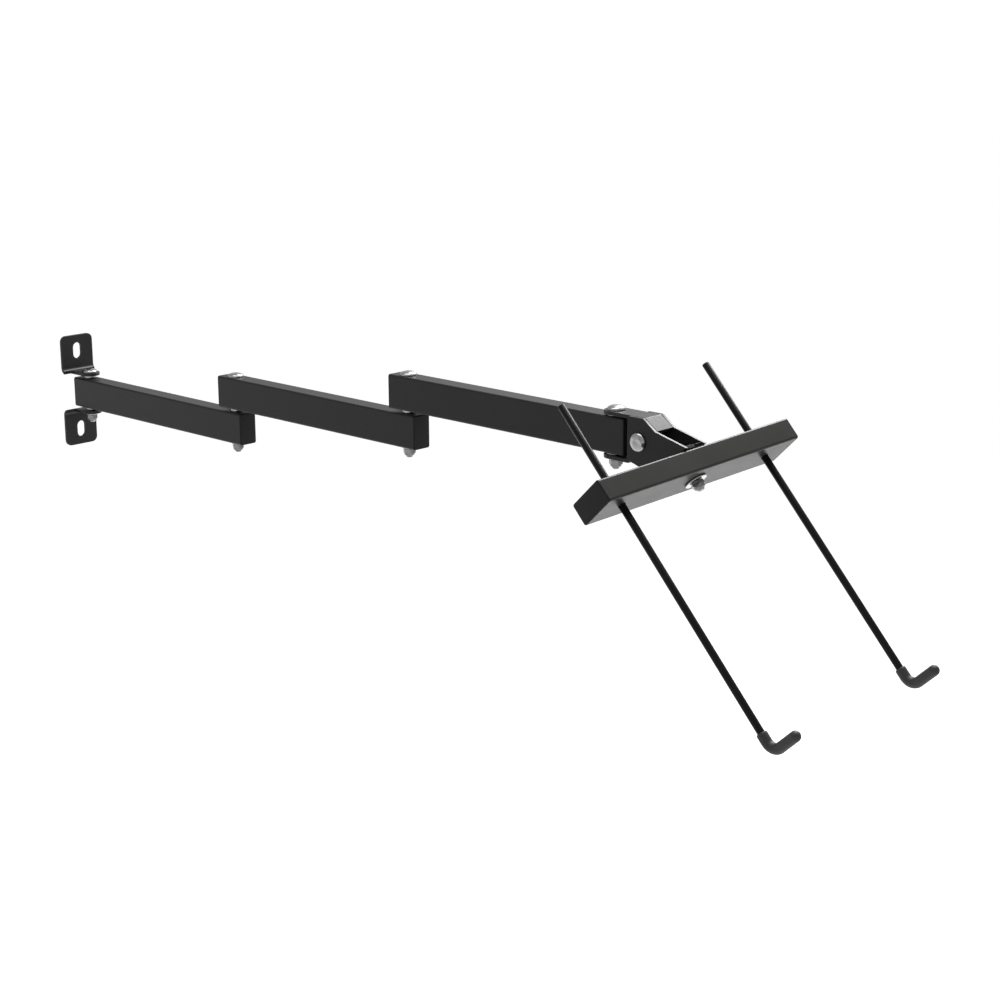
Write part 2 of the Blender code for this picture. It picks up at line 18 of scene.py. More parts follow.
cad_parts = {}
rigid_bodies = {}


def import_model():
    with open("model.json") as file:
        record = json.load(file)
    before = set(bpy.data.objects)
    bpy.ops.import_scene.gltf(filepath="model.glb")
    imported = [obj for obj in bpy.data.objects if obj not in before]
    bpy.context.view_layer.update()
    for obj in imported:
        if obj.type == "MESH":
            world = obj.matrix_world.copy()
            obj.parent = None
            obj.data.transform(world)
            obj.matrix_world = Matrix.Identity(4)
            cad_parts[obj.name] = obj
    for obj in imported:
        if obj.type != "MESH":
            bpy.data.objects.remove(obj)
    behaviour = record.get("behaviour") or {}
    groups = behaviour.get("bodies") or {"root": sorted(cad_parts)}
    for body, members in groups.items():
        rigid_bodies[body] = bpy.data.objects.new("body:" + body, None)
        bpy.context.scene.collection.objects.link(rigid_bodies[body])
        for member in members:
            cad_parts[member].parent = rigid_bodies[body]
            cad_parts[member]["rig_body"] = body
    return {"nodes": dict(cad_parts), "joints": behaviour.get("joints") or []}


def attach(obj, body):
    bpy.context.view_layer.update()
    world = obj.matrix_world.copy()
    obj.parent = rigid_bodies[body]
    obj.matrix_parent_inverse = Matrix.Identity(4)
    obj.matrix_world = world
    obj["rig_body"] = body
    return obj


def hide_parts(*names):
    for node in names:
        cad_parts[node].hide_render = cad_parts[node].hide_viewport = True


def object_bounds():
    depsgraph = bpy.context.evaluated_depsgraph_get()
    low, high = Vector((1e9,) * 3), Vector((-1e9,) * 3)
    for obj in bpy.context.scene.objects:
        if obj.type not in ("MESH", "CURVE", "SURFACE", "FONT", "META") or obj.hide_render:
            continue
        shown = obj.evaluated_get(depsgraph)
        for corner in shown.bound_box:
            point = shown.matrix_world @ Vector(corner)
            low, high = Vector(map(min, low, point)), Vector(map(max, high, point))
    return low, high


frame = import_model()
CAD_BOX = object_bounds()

LOG = logging.getLogger("wall_rack")
MM = 0.001
HAIR = 0.05 * MM                # gap that reads as contact between two pieces
CLEAR = 0.3 * MM                # gap between pieces that are fitted into each other
BOLT_RADIUS = 4 * MM
BOLT_HOLE = BOLT_RADIUS + 0.4 * MM
ARM_HEIGHT = 40 * MM
SPACER_RADIUS = 8 * MM
SPACER_HEIGHT = 3.6 * MM
ROUND = 64                      # sides of turned hardware
CORNER_STEPS = 8                # steps on a quarter turn of an outline

Point = tuple[float, float]
Triple = tuple[float, float, float]
Colour = Triple
Value = Any                     # a signal, or a plain value that a socket takes


# ---- finishes
class Slot(Enum):
    """The finishes named in the record."""

    POWDER = "powder_coat"
    ZINC = "zinc"
    PLASTIC = "black_plastic"
    NYLON = "nylon"
    ENAMEL = "gloss_black"
    VINYL = "dipped_vinyl"
    OXIDE = "black_oxide"


class Signal:
    """One output socket of a finish, ready for arithmetic."""

    def __init__(self, sheet: "NodeSheet", socket: bpy.types.NodeSocket) -> None:
        """Keep the socket and the sheet that it lies on."""
        self.sheet = sheet
        self.socket = socket

    def __add__(self, other: Value) -> "Signal":
        """Sum of two values."""
        return self.sheet.math("ADD", self, other)

    def __radd__(self, other: Value) -> "Signal":
        """Sum with a plain number in front."""
        return self.sheet.math("ADD", other, self)

    def __mul__(self, other: Value) -> "Signal":
        """Product of two values."""
        return self.sheet.math("MULTIPLY", self, other)

    def __rmul__(self, other: Value) -> "Signal":
        """Product with a plain number in front."""
        return self.sheet.math("MULTIPLY", other, self)


class NodeSheet:
    """The node tree of one material and its shader."""

    def __init__(self, name: str) -> None:
        """Start a material with one principled shader.

        Args:
            name: Name of the new material.
        """
        self.material = bpy.data.materials.new(name)
        self.material.use_nodes = True
        self.tree = self.material.node_tree
        self.shader = self.tree.nodes["Principled BSDF"]

    def node(self, kind: str, settings: dict[str, Value] | None = None,
             sockets: dict[str | int, Value] | None = None, output: str | int = 0) -> Signal:
        """Add a node.

        Args:
            kind: The node's type.
            settings: Its properties.
            sockets: Values or signals for its inputs, by name or number.
            output: The output that is wanted, by name or number.

        Returns:
            The signal at that output.
        """
        item = self.tree.nodes.new(kind)
        for key, value in (settings or {}).items():
            setattr(item, key, value)
        for key, value in (sockets or {}).items():
            self.feed(item.inputs[key], value)
        return Signal(self, item.outputs[output])

    def feed(self, socket: bpy.types.NodeSocket, value: Value) -> None:
        """Link a signal to a socket, or set a plain value on it."""
        if isinstance(value, Signal):
            self.tree.links.new(value.socket, socket)
        else:
            socket.default_value = value

    def math(self, operation: str, first: Value, second: Value) -> Signal:
        """Work on two values with one Math node."""
        return self.node("ShaderNodeMath", {"operation": operation}, {0: first, 1: second})

    def place(self, stretch: Triple = (1.0, 1.0, 1.0)) -> Signal:
        """Coordinates fixed to the piece, in metres times the stretch of each axis."""
        spot = self.node("ShaderNodeTexCoord", output="Object")
        return self.node("ShaderNodeVectorMath", {"operation": "MULTIPLY"}, {0: spot, 1: stretch})

    def noise(self, grain: float, detail: float = 3.0, rough: float = 0.5,
              stretch: Triple = (1.0, 1.0, 1.0)) -> Signal:
        """Noise between 0 and 1 whose grain has a real size, finer along an axis by its stretch."""
        return self.node("ShaderNodeTexNoise", {}, {
            "Vector": self.place(stretch), "Scale": 1.0 / grain, "Detail": detail, "Roughness": rough})

    def blend(self, mask: Value, first: Colour, second: Colour) -> Signal:
        """Mix two colours by a mask.

        Args:
            mask: 0 gives the first colour, 1 the second.
            first: Linear red, green and blue.
            second: Linear red, green and blue.

        Returns:
            The mixed colour.
        """
        item = self.tree.nodes.new("ShaderNodeMix")
        item.data_type = "RGBA"
        colours = [socket for socket in item.inputs if socket.type == "RGBA"]
        self.feed(item.inputs[0], mask)
        self.feed(colours[0], (*first, 1.0))
        self.feed(colours[1], (*second, 1.0))
        return Signal(self, next(socket for socket in item.outputs if socket.type == "RGBA"))

    def bump(self, height: Signal, depth: float, strength: float = 1.0,
             under: Signal | None = None) -> Signal:
        """Turn a height between 0 and 1 into a surface normal.

        Args:
            height: The pattern.
            depth: Real depth of the pattern in metres.
            strength: Weight of the effect.
            under: A coarser bump that this one lies on.

        Returns:
            The bent normal.
        """
        sockets = {"Height": height, "Distance": depth, "Strength": strength}
        if under is not None:
            sockets["Normal"] = under
        return self.node("ShaderNodeBump", {}, sockets)

    def set(self, **values: Value) -> None:
        """Set the shader's sockets; an underscore stands for a space in a socket's name."""
        for key, value in values.items():
            self.feed(self.shader.inputs[key.replace("_", " ")], value)


@dataclass(frozen=True)
class PowderCoat:
    """Dark grey powder coat with a fine orange-peel skin."""

    slot: Slot = Slot.POWDER
    dark: Colour = (0.0068, 0.0068, 0.0068)
    pale: Colour = (0.0105, 0.0105, 0.0104)
    gloss: float = 0.27
    peel: float = 1.1 * MM
    grain: float = 0.32 * MM

    def material(self, name: str) -> bpy.types.Material:
        """Build the finish for one piece."""
        sheet = NodeSheet(name)
        cloud = sheet.noise(38 * MM, 2.0)
        speck = sheet.noise(self.grain, 2.0, 0.6)
        peel = sheet.noise(self.peel, 1.5, 0.4)
        tone = cloud * 0.55 + speck * 0.45
        skin = sheet.bump(peel, 0.028 * MM, 0.75)
        sheet.set(Base_Color=sheet.blend(tone, self.dark, self.pale),
                  Roughness=0.30 + cloud * 0.08 + speck * 0.10,
                  Normal=sheet.bump(speck, 0.008 * MM, 0.6, skin),
                  Specular_IOR_Level=self.gloss)
        return sheet.material


@dataclass(frozen=True)
class ZincPlate:
    """Bright zinc plate with a faint passivation tint and handling marks."""

    slot: Slot = Slot.ZINC
    cool: Colour = (0.36, 0.375, 0.40)
    warm: Colour = (0.44, 0.43, 0.405)

    def material(self, name: str) -> bpy.types.Material:
        """Build the finish for one piece."""
        sheet = NodeSheet(name)
        cloud = sheet.noise(5 * MM, 2.0)
        grit = sheet.noise(0.25 * MM, 3.0, 0.6)
        lines = sheet.noise(0.3 * MM, 2.0, 0.5, (1.0, 1.0, 9.0))
        sheet.set(Base_Color=sheet.blend(cloud, self.cool, self.warm),
                  Roughness=0.14 + cloud * 0.08 + grit * 0.10,
                  Metallic=1.0,
                  Normal=sheet.bump(lines * 0.5 + grit * 0.5, 0.006 * MM, 0.5))
        return sheet.material


@dataclass(frozen=True)
class GlossEnamel:
    """Gloss black enamel on drawn bar: smooth, with long faint waves."""

    slot: Slot = Slot.ENAMEL

    def material(self, name: str) -> bpy.types.Material:
        """Build the finish for one piece."""
        sheet = NodeSheet(name)
        wave = sheet.noise(9 * MM, 1.0)
        dust = sheet.noise(0.5 * MM, 2.0, 0.6)
        sheet.set(Base_Color=sheet.blend(wave, (0.0050, 0.0050, 0.0052), (0.0080, 0.0080, 0.0083)),
                  Roughness=0.20 + dust * 0.10 + wave * 0.04,
                  Normal=sheet.bump(wave, 0.05 * MM, 0.4),
                  IOR=1.22)
        return sheet.material


@dataclass(frozen=True)
class DippedVinyl:
    """Satin black dipped coating with a soft, slightly pebbled skin."""

    slot: Slot = Slot.VINYL

    def material(self, name: str) -> bpy.types.Material:
        """Build the finish for one piece."""
        sheet = NodeSheet(name)
        pebble = sheet.node("ShaderNodeTexVoronoi", {"feature": "SMOOTH_F1"}, {
            "Vector": sheet.place(), "Scale": 1.0 / (0.9 * MM), "Smoothness": 0.6}, "Distance")
        cloud = sheet.noise(7 * MM, 2.0)
        sheet.set(Base_Color=sheet.blend(cloud, (0.016, 0.016, 0.0165), (0.026, 0.026, 0.0265)),
                  Roughness=0.48 + cloud * 0.12,
                  Normal=sheet.bump(pebble, 0.03 * MM, 0.6,
                                    sheet.bump(cloud, 0.12 * MM, 0.4)),
                  Specular_IOR_Level=0.4)
        return sheet.material


@dataclass(frozen=True)
class MouldedPlastic:
    """Black moulded plastic with a spark-eroded grain."""

    slot: Slot = Slot.PLASTIC

    def material(self, name: str) -> bpy.types.Material:
        """Build the finish for one piece."""
        sheet = NodeSheet(name)
        grain = sheet.noise(0.35 * MM, 3.0, 0.65)
        cloud = sheet.noise(12 * MM, 2.0)
        sheet.set(Base_Color=sheet.blend(grain, (0.0060, 0.0060, 0.0062), (0.0100, 0.0100, 0.0103)),
                  Roughness=0.42 + grain * 0.14 + cloud * 0.05,
                  Normal=sheet.bump(grain, 0.02 * MM, 0.7),
                  Specular_IOR_Level=0.16)
        return sheet.material


@dataclass(frozen=True)
class NaturalNylon:
    """Milky natural nylon with turning lines."""

    slot: Slot = Slot.NYLON

    def material(self, name: str) -> bpy.types.Material:
        """Build the finish for one piece."""
        sheet = NodeSheet(name)
        cloud = sheet.noise(4 * MM, 2.0)
        lines = sheet.noise(0.4 * MM, 2.0, 0.5, (1.0, 1.0, 6.0))
        sheet.set(Base_Color=sheet.blend(cloud, (0.56, 0.54, 0.48), (0.66, 0.65, 0.60)),
                  Roughness=0.42 + lines * 0.15,
                  Normal=sheet.bump(lines, 0.01 * MM, 0.6))
        return sheet.material


@dataclass(frozen=True)
class BlackOxide:
    """Oiled black-oxide steel."""

    slot: Slot = Slot.OXIDE

    def material(self, name: str) -> bpy.types.Material:
        """Build the finish for one piece."""
        sheet = NodeSheet(name)
        grit = sheet.noise(0.3 * MM, 3.0, 0.6)
        cloud = sheet.noise(3 * MM, 2.0)
        sheet.set(Base_Color=sheet.blend(cloud, (0.030, 0.030, 0.031), (0.052, 0.049, 0.047)),
                  Roughness=0.34 + grit * 0.18,
                  Metallic=0.9,
                  Normal=sheet.bump(grit, 0.008 * MM, 0.6))
        return sheet.material


Finish = PowderCoat | ZincPlate | GlossEnamel | DippedVinyl | MouldedPlastic | NaturalNylon | BlackOxide
COAT, BRIGHT_ZINC, PLASTIC = PowderCoat(), ZincPlate(), MouldedPlastic()
# Every nut wears this darker copy of the zinc plate: painted shade, not a duller plating.
NUT_ZINC_PAINTED_SHADE = ZincPlate(cool=(0.19, 0.20, 0.21), warm=(0.25, 0.245, 0.23))
# The cross bar's coat is warmer than the arms', which is its own tint, and paler, which is painted light
# standing in for light the lamps do not give the bar.
BAR_COAT_TINT_AND_PAINTED_LIGHT = PowderCoat(dark=(0.0150, 0.0142, 0.0131), pale=(0.0205, 0.0195, 0.0180), gloss=0.26)


# ---- outlines
def arc(centre: Point, radius: float, start: float, end: float, steps: int = CORNER_STEPS) -> list[Point]:
    """Points on an arc between two angles in degrees, both ends among them."""
    angles = [math.radians(start + (end - start) * step / steps) for step in range(steps + 1)]
    return [(centre[0] + radius * math.cos(a), centre[1] + radius * math.sin(a)) for a in angles]


def rounded_rectangle(width: float, height: float, corner: float) -> list[Point]:
    """Outline of a rectangle with round corners, anticlockwise."""
    x, y = width / 2 - corner, height / 2 - corner
    return (arc((x, y), corner, 0, 90) + arc((-x, y), corner, 90, 180)
            + arc((-x, -y), corner, 180, 270) + arc((x, -y), corner, 270, 360))


def slot_outline(width: float, height: float) -> list[Point]:
    """Outline of an upright slot with round ends."""
    straight = (height - width) / 2
    return (arc((0, straight), width / 2, 0, 180, 2 * CORNER_STEPS)
            + arc((0, -straight), width / 2, 180, 360, 2 * CORNER_STEPS))


def raised(outline: Sequence[Point], height: float) -> list[Vector]:
    """A flat outline as a ring of points at one height."""
    return [Vector((x, y, height)) for x, y in outline]


def circle(radius: float, height: float, sides: int) -> list[Vector]:
    """A round ring of points at one height."""
    angles = [2 * math.pi * side / sides for side in range(sides)]
    return [Vector((radius * math.cos(a), radius * math.sin(a), height)) for a in angles]


def shift(x: float = 0.0, y: float = 0.0, z: float = 0.0) -> Matrix:
    """A move."""
    return Matrix.Translation((x, y, z))


def turn(degrees: float, axis: str) -> Matrix:
    """A turn about an axis."""
    return Matrix.Rotation(math.radians(degrees), 4, axis)


UPRIGHT = turn(90, "X")         # outline x, y become X, Z
SIDEWAYS = turn(90, "Y")        # a turned piece's axis becomes X
ACROSS = turn(90, "Z")


# ---- shaping
def put(name: str, data: bpy.types.ID) -> bpy.types.Object:
    """Put a new object into the scene."""
    item = bpy.data.objects.new(name, data)
    bpy.context.scene.collection.objects.link(item)
    return item


class Blank:
    """A closed shape on the bench, worked until it is a finished piece."""

    WELD = 0.0005 * MM              # points closer than this are one, in a new shape
    CUT_WELD = 0.002 * MM           # and after a cut
    DRILL_SIDES = 48
    SLIVER = 0.22                   # narrowest face beside a softened edge, as a share of its radius

    def __init__(self, name: str, mesh: bpy.types.Mesh) -> None:
        """Hold a mesh whose points lie where the piece will be."""
        self.name = name
        self.mesh = mesh

    @classmethod
    def lofted(cls, name: str, rings: Sequence[Sequence[Vector]], matrix: Matrix,
               ring_shaped: bool = False) -> "Blank":
        """Skin a row of rings with equal counts of points.

        Args:
            name: Name of the piece.
            rings: The rings, in order.
            matrix: Place of the piece.
            ring_shaped: True joins the last ring to the first; False closes both ends.

        Returns:
            The blank.
        """
        shape = bmesh.new()
        rows = [[shape.verts.new(point) for point in ring] for ring in rings]
        pairs = list(zip(rows, rows[1:]))
        if ring_shaped:
            pairs.append((rows[-1], rows[0]))
        for lower, upper in pairs:
            for index, vert in enumerate(lower):
                following = (index + 1) % len(lower)
                shape.faces.new((vert, lower[following], upper[following], upper[index]))
        if not ring_shaped:
            shape.faces.new(rows[0])
            shape.faces.new(rows[-1])
        bmesh.ops.remove_doubles(shape, verts=shape.verts, dist=cls.WELD)
        bmesh.ops.recalc_face_normals(shape, faces=shape.faces)
        bmesh.ops.transform(shape, matrix=matrix, verts=shape.verts)
        mesh = bpy.data.meshes.new(name)
        shape.to_mesh(mesh)
        shape.free()
        return cls(name, mesh)

    @classmethod
    def revolved(cls, name: str, profile: Sequence[Point], matrix: Matrix,
                 ring_shaped: bool = False) -> "Blank":
        """Turn a profile of radii and heights about local Z; an open one ends at small radii."""
        rings = [circle(radius, height, ROUND) for radius, height in profile]
        return cls.lofted(name, rings, matrix, ring_shaped)

    @classmethod
    def plate(cls, name: str, outline: Sequence[Point], depth: float, matrix: Matrix) -> "Blank":
        """Thicken a flat outline evenly to both sides of the local XY plane."""
        return cls.lofted(name, [raised(outline, -depth / 2), raised(outline, depth / 2)], matrix)

    def _combine(self, other: "Blank", operation: str) -> "Blank":
        """Work this blank with another, which is used up.

        Args:
            other: The tool.
            operation: UNION, DIFFERENCE or INTERSECT.

        Returns:
            This blank.
        """
        bench, tool = put(f"{self.name}_bench", self.mesh), put(f"{self.name}_tool", other.mesh)
        boolean = bench.modifiers.new(operation.lower(), "BOOLEAN")
        boolean.operation = operation
        boolean.solver = "EXACT"
        boolean.object = tool
        bpy.context.view_layer.update()
        graph = bpy.context.evaluated_depsgraph_get()
        result = bpy.data.meshes.new_from_object(bench.evaluated_get(graph))
        for item in (bench, tool):
            old = item.data
            bpy.data.objects.remove(item)
            bpy.data.meshes.remove(old)
        shape = bmesh.new()
        shape.from_mesh(result)
        bmesh.ops.remove_doubles(shape, verts=shape.verts, dist=self.CUT_WELD)
        bmesh.ops.dissolve_limit(shape, angle_limit=math.radians(0.5), verts=shape.verts, edges=shape.edges)
        shape.to_mesh(result)
        shape.free()
        self.mesh = result
        return self

    def join(self, other: "Blank") -> "Blank":
        """Weld another blank on."""
        return self._combine(other, "UNION")

    def cut(self, other: "Blank") -> "Blank":
        """Cut another blank's shape away."""
        return self._combine(other, "DIFFERENCE")

    def trim(self, other: "Blank") -> "Blank":
        """Keep only what lies inside another blank."""
        return self._combine(other, "INTERSECT")

    def drill(self, radius: float, length: float, matrix: Matrix) -> "Blank":
        """Drill a hole along the matrix's Z."""
        sides = self.DRILL_SIDES
        outline = arc((0, 0), radius, 0, 360 - 360 / sides, sides - 1)
        return self.cut(Blank.plate("drill", outline, length, matrix))

    def mark_corners(self, soften: float, angle: float) -> None:
        """Close up slivers left by cutting, and mark the outer edges that get rounded.

        Args:
            soften: Radius that the edges will have.
            angle: Edges sharper than this many degrees are marked.
        """
        shape = bmesh.new()
        shape.from_mesh(self.mesh)
        sliver = self.SLIVER * soften
        bmesh.ops.remove_doubles(shape, verts=shape.verts, dist=sliver)
        bmesh.ops.dissolve_degenerate(shape, dist=sliver, edges=shape.edges)
        stray = [vert for vert in shape.verts if not vert.link_faces]
        bmesh.ops.delete(shape, geom=stray, context="VERTS")
        weight = shape.edges.layers.float.new("bevel_weight_edge")
        for edge in shape.edges:
            if len(edge.link_faces) == 2 and edge.is_convex and edge.calc_face_angle() > math.radians(angle):
                edge[weight] = 1.0
        shape.to_mesh(self.mesh)
        shape.free()

    def piece(self, finish: Finish, angle: float, soften: float = 0.0, rounds: int = 3) -> bpy.types.Object:
        """Finish the blank: round its edges, dress it and let it ride where its CAD node does.

        Args:
            finish: What it wears.
            angle: Edges sharper than this many degrees are rounded, or drawn sharp.
            soften: Radius given to those edges; 0 leaves them sharp.
            rounds: Steps on a rounded edge.

        Returns:
            The finished piece.
        """
        item = put(f"{self.name}_finished", self.mesh)
        self.mesh.shade_smooth()
        if soften > 0:
            self.mark_corners(soften, angle)
            edge = item.modifiers.new("soft_edges", "BEVEL")
            edge.width = soften
            edge.segments = rounds
            edge.limit_method = "WEIGHT"
            edge.use_clamp_overlap = False
            normals = item.modifiers.new("true_flats", "WEIGHTED_NORMAL")
            normals.mode = "FACE_AREA"
            normals.weight = 90
            normals.keep_sharp = True
        else:
            self.mesh.set_sharp_from_angle(angle=math.radians(angle))
        slot = finish.slot.value
        self.mesh.materials.append(finish.material(f"{self.name}_{slot}"))
        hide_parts(self.name)
        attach(item, frame["nodes"][self.name]["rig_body"])
        LOG.info("%s stands for %s", item.name, self.name)
        return item


def carry_over(part: str, finish: Finish) -> None:
    """Give the CAD nodes that are right as they are a full finish.

    Args:
        part: The word that their names share.
        finish: What they wear.
    """
    for name in sorted(name for name in frame["nodes"] if part in name):
        materials = frame["nodes"][name].data.materials
        materials.clear()
        materials.append(finish.material(f"{name}_{finish.slot.value}"))
        LOG.info("%s carried over with %s", name, finish.slot.value)


# ---- hardware
@dataclass
class Thread:
    """A coarse metric thread."""

    radius: float = BOLT_RADIUS
    pitch: float = 1.25 * MM
    depth: float = 0.55 * MM
    sides: int = 40
    rows_per_pitch: int = 6
    lead: float = 0.9 * MM

    def rings(self, top: float, foot: float) -> list[list[Vector]]:
        """Rings of points down a threaded shank.

        Args:
            top: Height where the thread begins.
            foot: Height of the shank's end.

        Returns:
            The rings from top to foot.
        """
        rows = max(4, round((top - foot) / self.pitch * self.rows_per_pitch))
        rings = []
        for row in range(rows + 1):
            height = top + (foot - top) * row / rows
            limit = self.radius - max(0.0, self.lead - (height - foot))
            ring = []
            for side in range(self.sides):
                share = side / self.sides
                wave = (height / self.pitch + share) % 1.0
                groove = self.depth * (1 - abs(2 * wave - 1)) * min(1.0, 3 * row / rows)
                radius = min(self.radius - groove, limit)
                angle = 2 * math.pi * share
                ring.append(Vector((radius * math.cos(angle), radius * math.sin(angle), height)))
            rings.append(ring)
        return rings


@dataclass
class BoltSet:
    """A dome-headed bolt, its washer and its lock nut."""

    name: str
    axis: Matrix
    head: float
    grip: float
    washer_radius: float = 8 * MM
    washer_height: float = 1.6 * MM
    dome_radius: float = 10 * MM
    dome_height: float = 5 * MM
    nut_flats: float = 13 * MM
    hex_height: float = 5.5 * MM
    collar_height: float = 2.5 * MM
    nut_sides: int = 72
    end: float = 2.5 * MM
    thread: Thread = field(default_factory=Thread)

    def __post_init__(self) -> None:
        """Work out where the set's faces lie along its axis."""
        self.washer_top = self.head - self.grip - CLEAR
        self.nut_top = self.washer_top - self.washer_height - CLEAR
        self.foot = self.nut_top - self.hex_height - self.collar_height - self.end

    def bolt(self) -> None:
        """The dome head on its shank, threaded at the foot."""
        radius, shank, lip = self.dome_radius, self.thread.radius, 0.9 * MM
        fillet, thread_above_nut = 0.35 * MM, 3 * MM
        crown = [(radius * math.sin(a), lip + (self.dome_height - lip) * math.cos(a))
                 for a in (math.radians(step) for step in (1, 6, 12, 20, 28, 36, 44, 52, 60, 68, 76, 84, 90))]
        rim = [(radius, 0.45 * lip), (radius - 0.12 * MM, 0.12 * lip), (radius - 0.35 * MM, 0.0)]
        neck = [(shank + fillet, 0.0), (shank, -fillet)]
        rings = [circle(r, self.head + HAIR + z, self.thread.sides) for r, z in crown + rim + neck]
        rings += self.thread.rings(self.nut_top + thread_above_nut, self.foot)
        Blank.lofted(f"{self.name}_bolt", rings, self.axis).piece(BRIGHT_ZINC, angle=50)

    def washer(self) -> None:
        """The washer, with the soft edge that stamping leaves."""
        washer(f"{self.name}_washer", self.washer_radius, self.thread.radius + CLEAR, self.washer_height,
               self.axis @ shift(z=self.washer_top - self.washer_height))

    def hexagon(self, height: float, limit: float) -> list[Vector]:
        """A ring of the nut's hexagon, with its corners no further out than a limit."""
        angles = [2 * math.pi * side / self.nut_sides for side in range(self.nut_sides)]
        across, sixth = self.nut_flats / 2, math.pi / 3
        radii = [min(across / math.cos((a + sixth / 2) % sixth - sixth / 2), limit) for a in angles]
        return [Vector((r * math.cos(a), r * math.sin(a), height)) for r, a in zip(radii, angles)]

    def nut(self) -> None:
        """A hexagon nut with chamfered corners and a round locking collar."""
        across, bore, top = self.nut_flats / 2, self.thread.radius + CLEAR, self.nut_top
        corner = across / math.cos(math.radians(30))
        base = top - self.hex_height
        low, collar = base - self.collar_height, across - 0.4 * MM
        chamfer, slope = [step * MM for step in (0.0, 0.18, 0.36, 0.54, 0.72, 0.9)], 1.6
        collar_profile = [(collar, base), (collar, low + 1.2 * MM), (collar - 0.25 * MM, low + 0.55 * MM),
                          (collar - 0.7 * MM, low + 0.12 * MM), (collar - 1.1 * MM, low),
                          (bore + 0.25 * MM, low), (bore, low + 0.25 * MM)]
        rings = [circle(bore, top, self.nut_sides), circle(across - 0.3 * MM, top, self.nut_sides)]
        rings += [self.hexagon(top - drop, across - 0.2 * MM + drop * slope) for drop in chamfer]
        rings += [self.hexagon(top - 1.1 * MM, corner), self.hexagon(base + chamfer[-1], corner)]
        rings += [self.hexagon(base + lift, across + lift * slope) for lift in reversed(chamfer)]
        rings += [circle(radius, height, self.nut_sides) for radius, height in collar_profile]
        # the darker zinc on the nut is painted shade
        Blank.lofted(f"{self.name}_nut", rings, self.axis, ring_shaped=True).piece(NUT_ZINC_PAINTED_SHADE, angle=24)

    def build(self) -> None:
        """Build the whole set."""
        self.bolt()
        self.washer()
        self.nut()


def washer(name: str, outer: float, inner: float, height: float, matrix: Matrix,
           finish: Finish = BRIGHT_ZINC) -> None:
    """A flat ring with softened edges, whose lower face lies at the matrix origin.

    Args:
        name: Name of the CAD node that it stands for.
        outer: Outer radius.
        inner: Radius of the hole.
        height: Thickness.
        matrix: Its place.
        finish: What it wears.
    """
    edge = min(0.3 * MM, height / 4)
    half = edge * 0.3               # how far an edge's middle point lies in from the corner
    profile = [(inner + edge, height), (outer - edge, height), (outer - half, height - half),
               (outer, height - edge), (outer, edge), (outer - half, half), (outer - edge, 0),
               (inner + edge, 0), (inner + half, half), (inner, edge), (inner, height - edge),
               (inner + half, height - half)]
    Blank.revolved(name, profile, matrix, ring_shaped=True).piece(finish, angle=55)


# ---- tubes and caps
@dataclass
class TubeStock:
    """Rectangular steel tube and the push-in caps that close it."""

    depth: float
    height: float
    wall: float = 2 * MM
    corner: float = 2.5 * MM
    flange: float = 1.5 * MM
    plug: float = 8 * MM

    def ring(self, inset: float, corner: float, height: float) -> list[Vector]:
        """The tube's outline moved in by an inset, as a ring at one height."""
        return raised(rounded_rectangle(self.depth - 2 * inset, self.height - 2 * inset, corner), height)

    def tube(self, name: str, length: float, matrix: Matrix) -> Blank:
        """Cut a length of tube along local Z.

        Args:
            name: Name of the CAD node that it stands for.
            length: Its length.
            matrix: Its place.

        Returns:
            The open tube.
        """
        low, high, wall = -length / 2, length / 2, self.wall
        rings = [self.ring(0.0, self.corner, low), self.ring(0.0, self.corner, high),
                 self.ring(wall, self.corner / 2, high), self.ring(wall, self.corner / 2, low)]
        return Blank.lofted(name, rings, matrix, ring_shaped=True)

    def cap(self, name: str, matrix: Matrix) -> None:
        """A push-in cap: its face lies at the local origin and its plug points along local Z.

        Args:
            name: Name of the CAD node that it stands for.
            matrix: Its place.
        """
        rim = [(1.6, 0.0), (0.75, 0.10), (0.30, 0.32), (0.06, 0.62), (0.0, 0.95)]
        face = [(inset * MM, height * MM) for inset, height in rim]
        face += [(0.0, self.flange - 0.2 * MM), (0.15 * MM, self.flange)]
        rings = [self.ring(inset, max(self.corner - 0.6 * inset, 0.5 * MM), height) for inset, height in face]
        fit, end = self.wall + CLEAR, self.flange + self.plug
        rings += [self.ring(inset, self.corner / 2, height)
                  for inset, height in ((fit, self.flange), (fit, end - 1 * MM), (fit + 0.8 * MM, end))]
        Blank.lofted(name, rings, matrix).piece(PLASTIC, angle=40)


# ---- the rig's axes
@dataclass
class Axes:
    """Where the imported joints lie."""

    wall: Vector
    elbows: list[Vector]
    swivel: Vector
    tilt: Vector
    roll: Vector
    rods: Vector
    rest_roll: float = 6.0

    @classmethod
    def from_joints(cls) -> "Axes":
        """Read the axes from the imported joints."""
        joints = {joint["name"]: joint for joint in frame["joints"]}
        spot = {name: Vector(joint["pos_m"]) for name, joint in joints.items() if joint.get("pos_m")}
        return cls(spot["wall_pivot"], [spot["elbow_1"], spot["elbow_2"]], spot["head_swivel"],
                   spot["head_tilt"], spot["cross_bar_roll"], Vector(joints["cross_bar_roll"]["axis"]))

    @property
    def rods_turn(self) -> Matrix:
        """The turn that lays local X along the hook rods."""
        return Matrix.Rotation(math.atan2(-self.rods.z, self.rods.x), 4, "Y")

    @property
    def bar(self) -> Matrix:
        """The cross bar's place: X along the rods, Y along the bar."""
        return Matrix.Translation(self.roll) @ self.rods_turn @ turn(self.rest_roll, "X")


